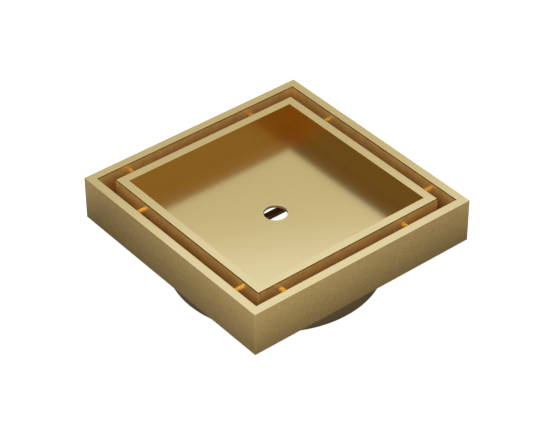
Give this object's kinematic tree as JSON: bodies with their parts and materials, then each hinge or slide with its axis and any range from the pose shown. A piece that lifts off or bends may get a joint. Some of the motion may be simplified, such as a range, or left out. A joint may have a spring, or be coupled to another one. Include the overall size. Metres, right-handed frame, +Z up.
{
  "type": "tile insert floor drain",
  "caption": "Square brushed brass floor drain: a mitred frame with a round outlet spigot below, and a lift-out tray for a tile with a drain slot all round it.",
  "frame": {"origin": "centre of the outlet spigot's lower end, which is the object's lowest level", "axes": "+Z up through the outlet, +X to the right side and -Y to the front side of the square frame"},
  "size_m": [0.11, 0.11, 0.037],
  "materials": {
    "frame_brass": "brushed gold",
    "insert_brass": "brushed gold",
    "floor_brass": "satin gold sheet",
    "pin_brass": "polished",
    "base_brass": "satin gold sheet",
    "spigot_brass": "brushed gold, dull",
    "bridge_brass": "satin, dull",
    "foot_brass": "satin"
  },
  "bodies": {
    "frame": {"frame_wall_front": "frame_brass", "frame_wall_right": "frame_brass", "frame_wall_back": "frame_brass", "frame_wall_left": "frame_brass", "base_plate": "base_brass", "outlet_spigot": "spigot_brass", "bridge_bar_front": "bridge_brass", "bridge_bar_back": "bridge_brass"},
    "insert": {"insert_wall_front": "insert_brass", "insert_wall_right": "insert_brass", "insert_wall_back": "insert_brass", "insert_wall_left": "insert_brass", "insert_floor": "floor_brass", "spacer_pin_front_left": "pin_brass", "spacer_pin_front_right": "pin_brass", "spacer_pin_right_front": "pin_brass", "spacer_pin_right_back": "pin_brass", "spacer_pin_back_right": "pin_brass", "spacer_pin_back_left": "pin_brass", "spacer_pin_left_back": "pin_brass", "spacer_pin_left_front": "pin_brass", "insert_foot_front_left": "foot_brass", "insert_foot_front_right": "foot_brass", "insert_foot_back_left": "foot_brass", "insert_foot_back_right": "foot_brass"}
  },
  "joints": [
    {"name": "insert_lift", "type": "slide", "parent": "frame", "child": "insert", "axis": [0, 0, 1], "range_m": [0, 0.04]}
  ]
}
